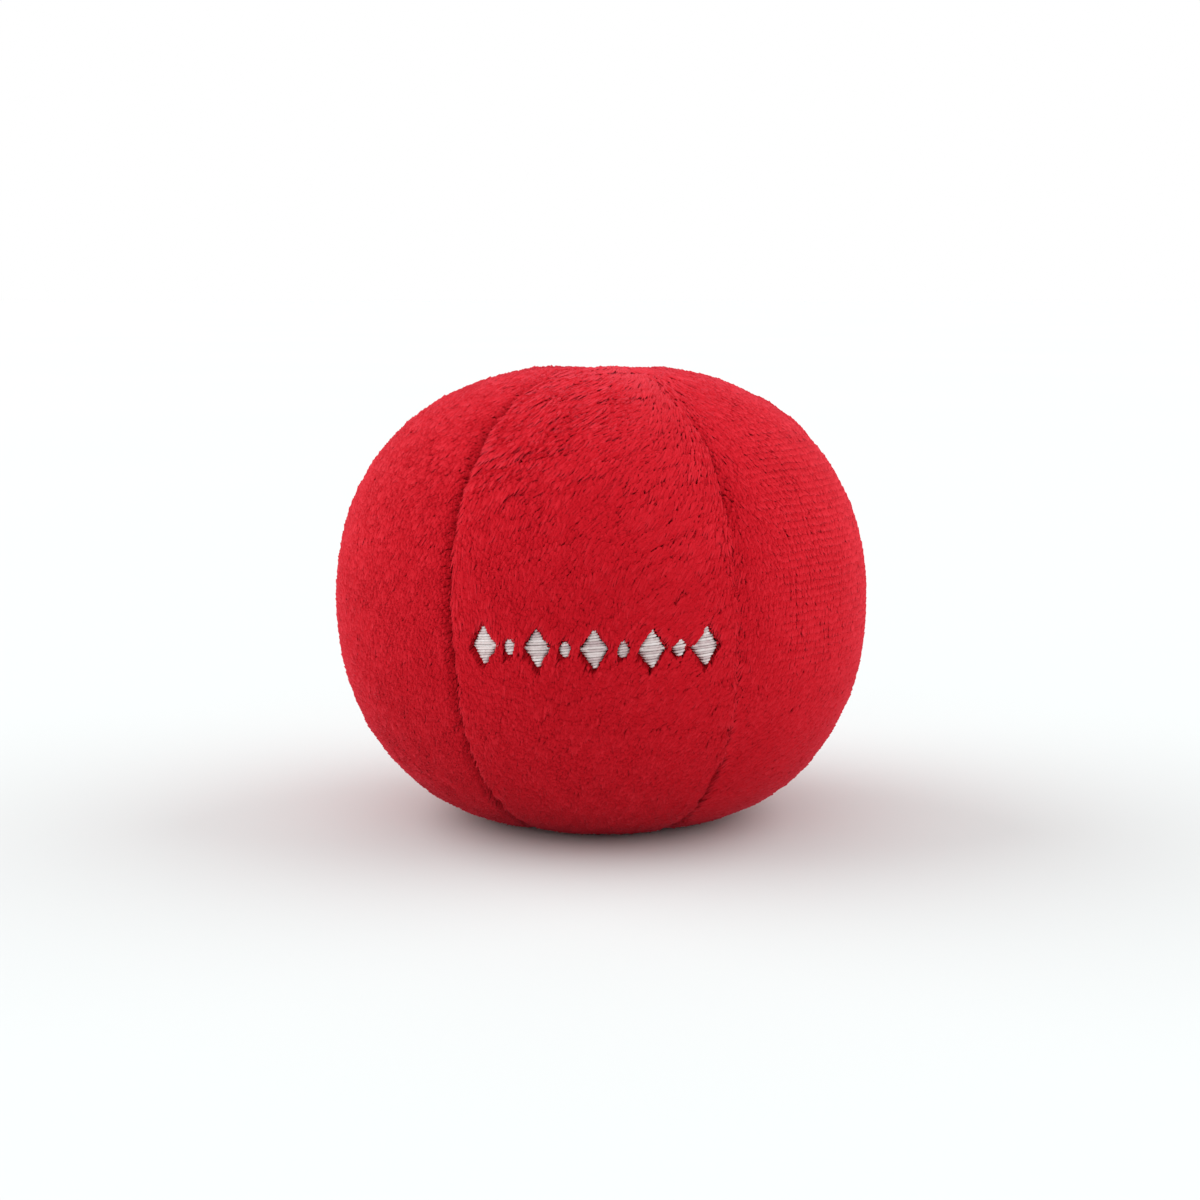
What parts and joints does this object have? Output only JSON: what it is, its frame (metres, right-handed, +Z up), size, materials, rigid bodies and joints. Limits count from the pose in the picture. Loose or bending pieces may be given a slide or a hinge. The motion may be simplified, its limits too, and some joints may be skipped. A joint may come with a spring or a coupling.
{
  "type": "juggling ball",
  "caption": "Soft round juggling ball of sewn plush gores over a bag of plastic pellets, slightly flattened by its own weight, with a plain embroidered band on the front.",
  "frame": {"origin": "centre of the small flat on which the ball rests, on the ball's axis", "axes": "+Z up through both poles, where the six gores meet; -Y through the middle of the front gore, which carries the embroidery"},
  "size_m": [0.0668, 0.068, 0.057],
  "materials": {
    "plush": "short dense knitted plush pile, red",
    "seam_thread": "polyester sewing thread, dark red",
    "closing_thread": "heavy polyester hand thread, red",
    "embroidery_thread": "satin-stitched rayon thread, light silver pink",
    "backing": "non-woven tear-away stabiliser, white",
    "bobbin_thread": "fine polyester thread, white",
    "liner_cloth": "thin plain-woven cotton, unbleached",
    "liner_thread": "cotton sewing thread, natural",
    "pellets": "polypropylene pellets, milky white"
  },
  "bodies": {
    "root": {"panel_front": "plush", "panel_front_right": "plush", "panel_back_right": "plush", "panel_back": "plush", "panel_back_left": "plush", "panel_front_left": "plush", "seam_thread_front_left_to_front": "seam_thread", "seam_thread_front_to_front_right": "seam_thread", "seam_thread_front_right_to_back_right": "seam_thread", "seam_thread_back_right_to_back": "seam_thread", "seam_thread_back_to_back_left": "seam_thread", "seam_thread_back_left_to_front_left": "seam_thread", "closing_stitch": "closing_thread", "closing_knot": "closing_thread", "embroidery": "embroidery_thread", "embroidery_backing": "backing", "embroidery_bobbin_thread": "bobbin_thread", "liner_upper": "liner_cloth", "liner_lower": "liner_cloth", "liner_seam_thread": "liner_thread", "pellet_fill": "pellets"}
  },
  "joints": []
}
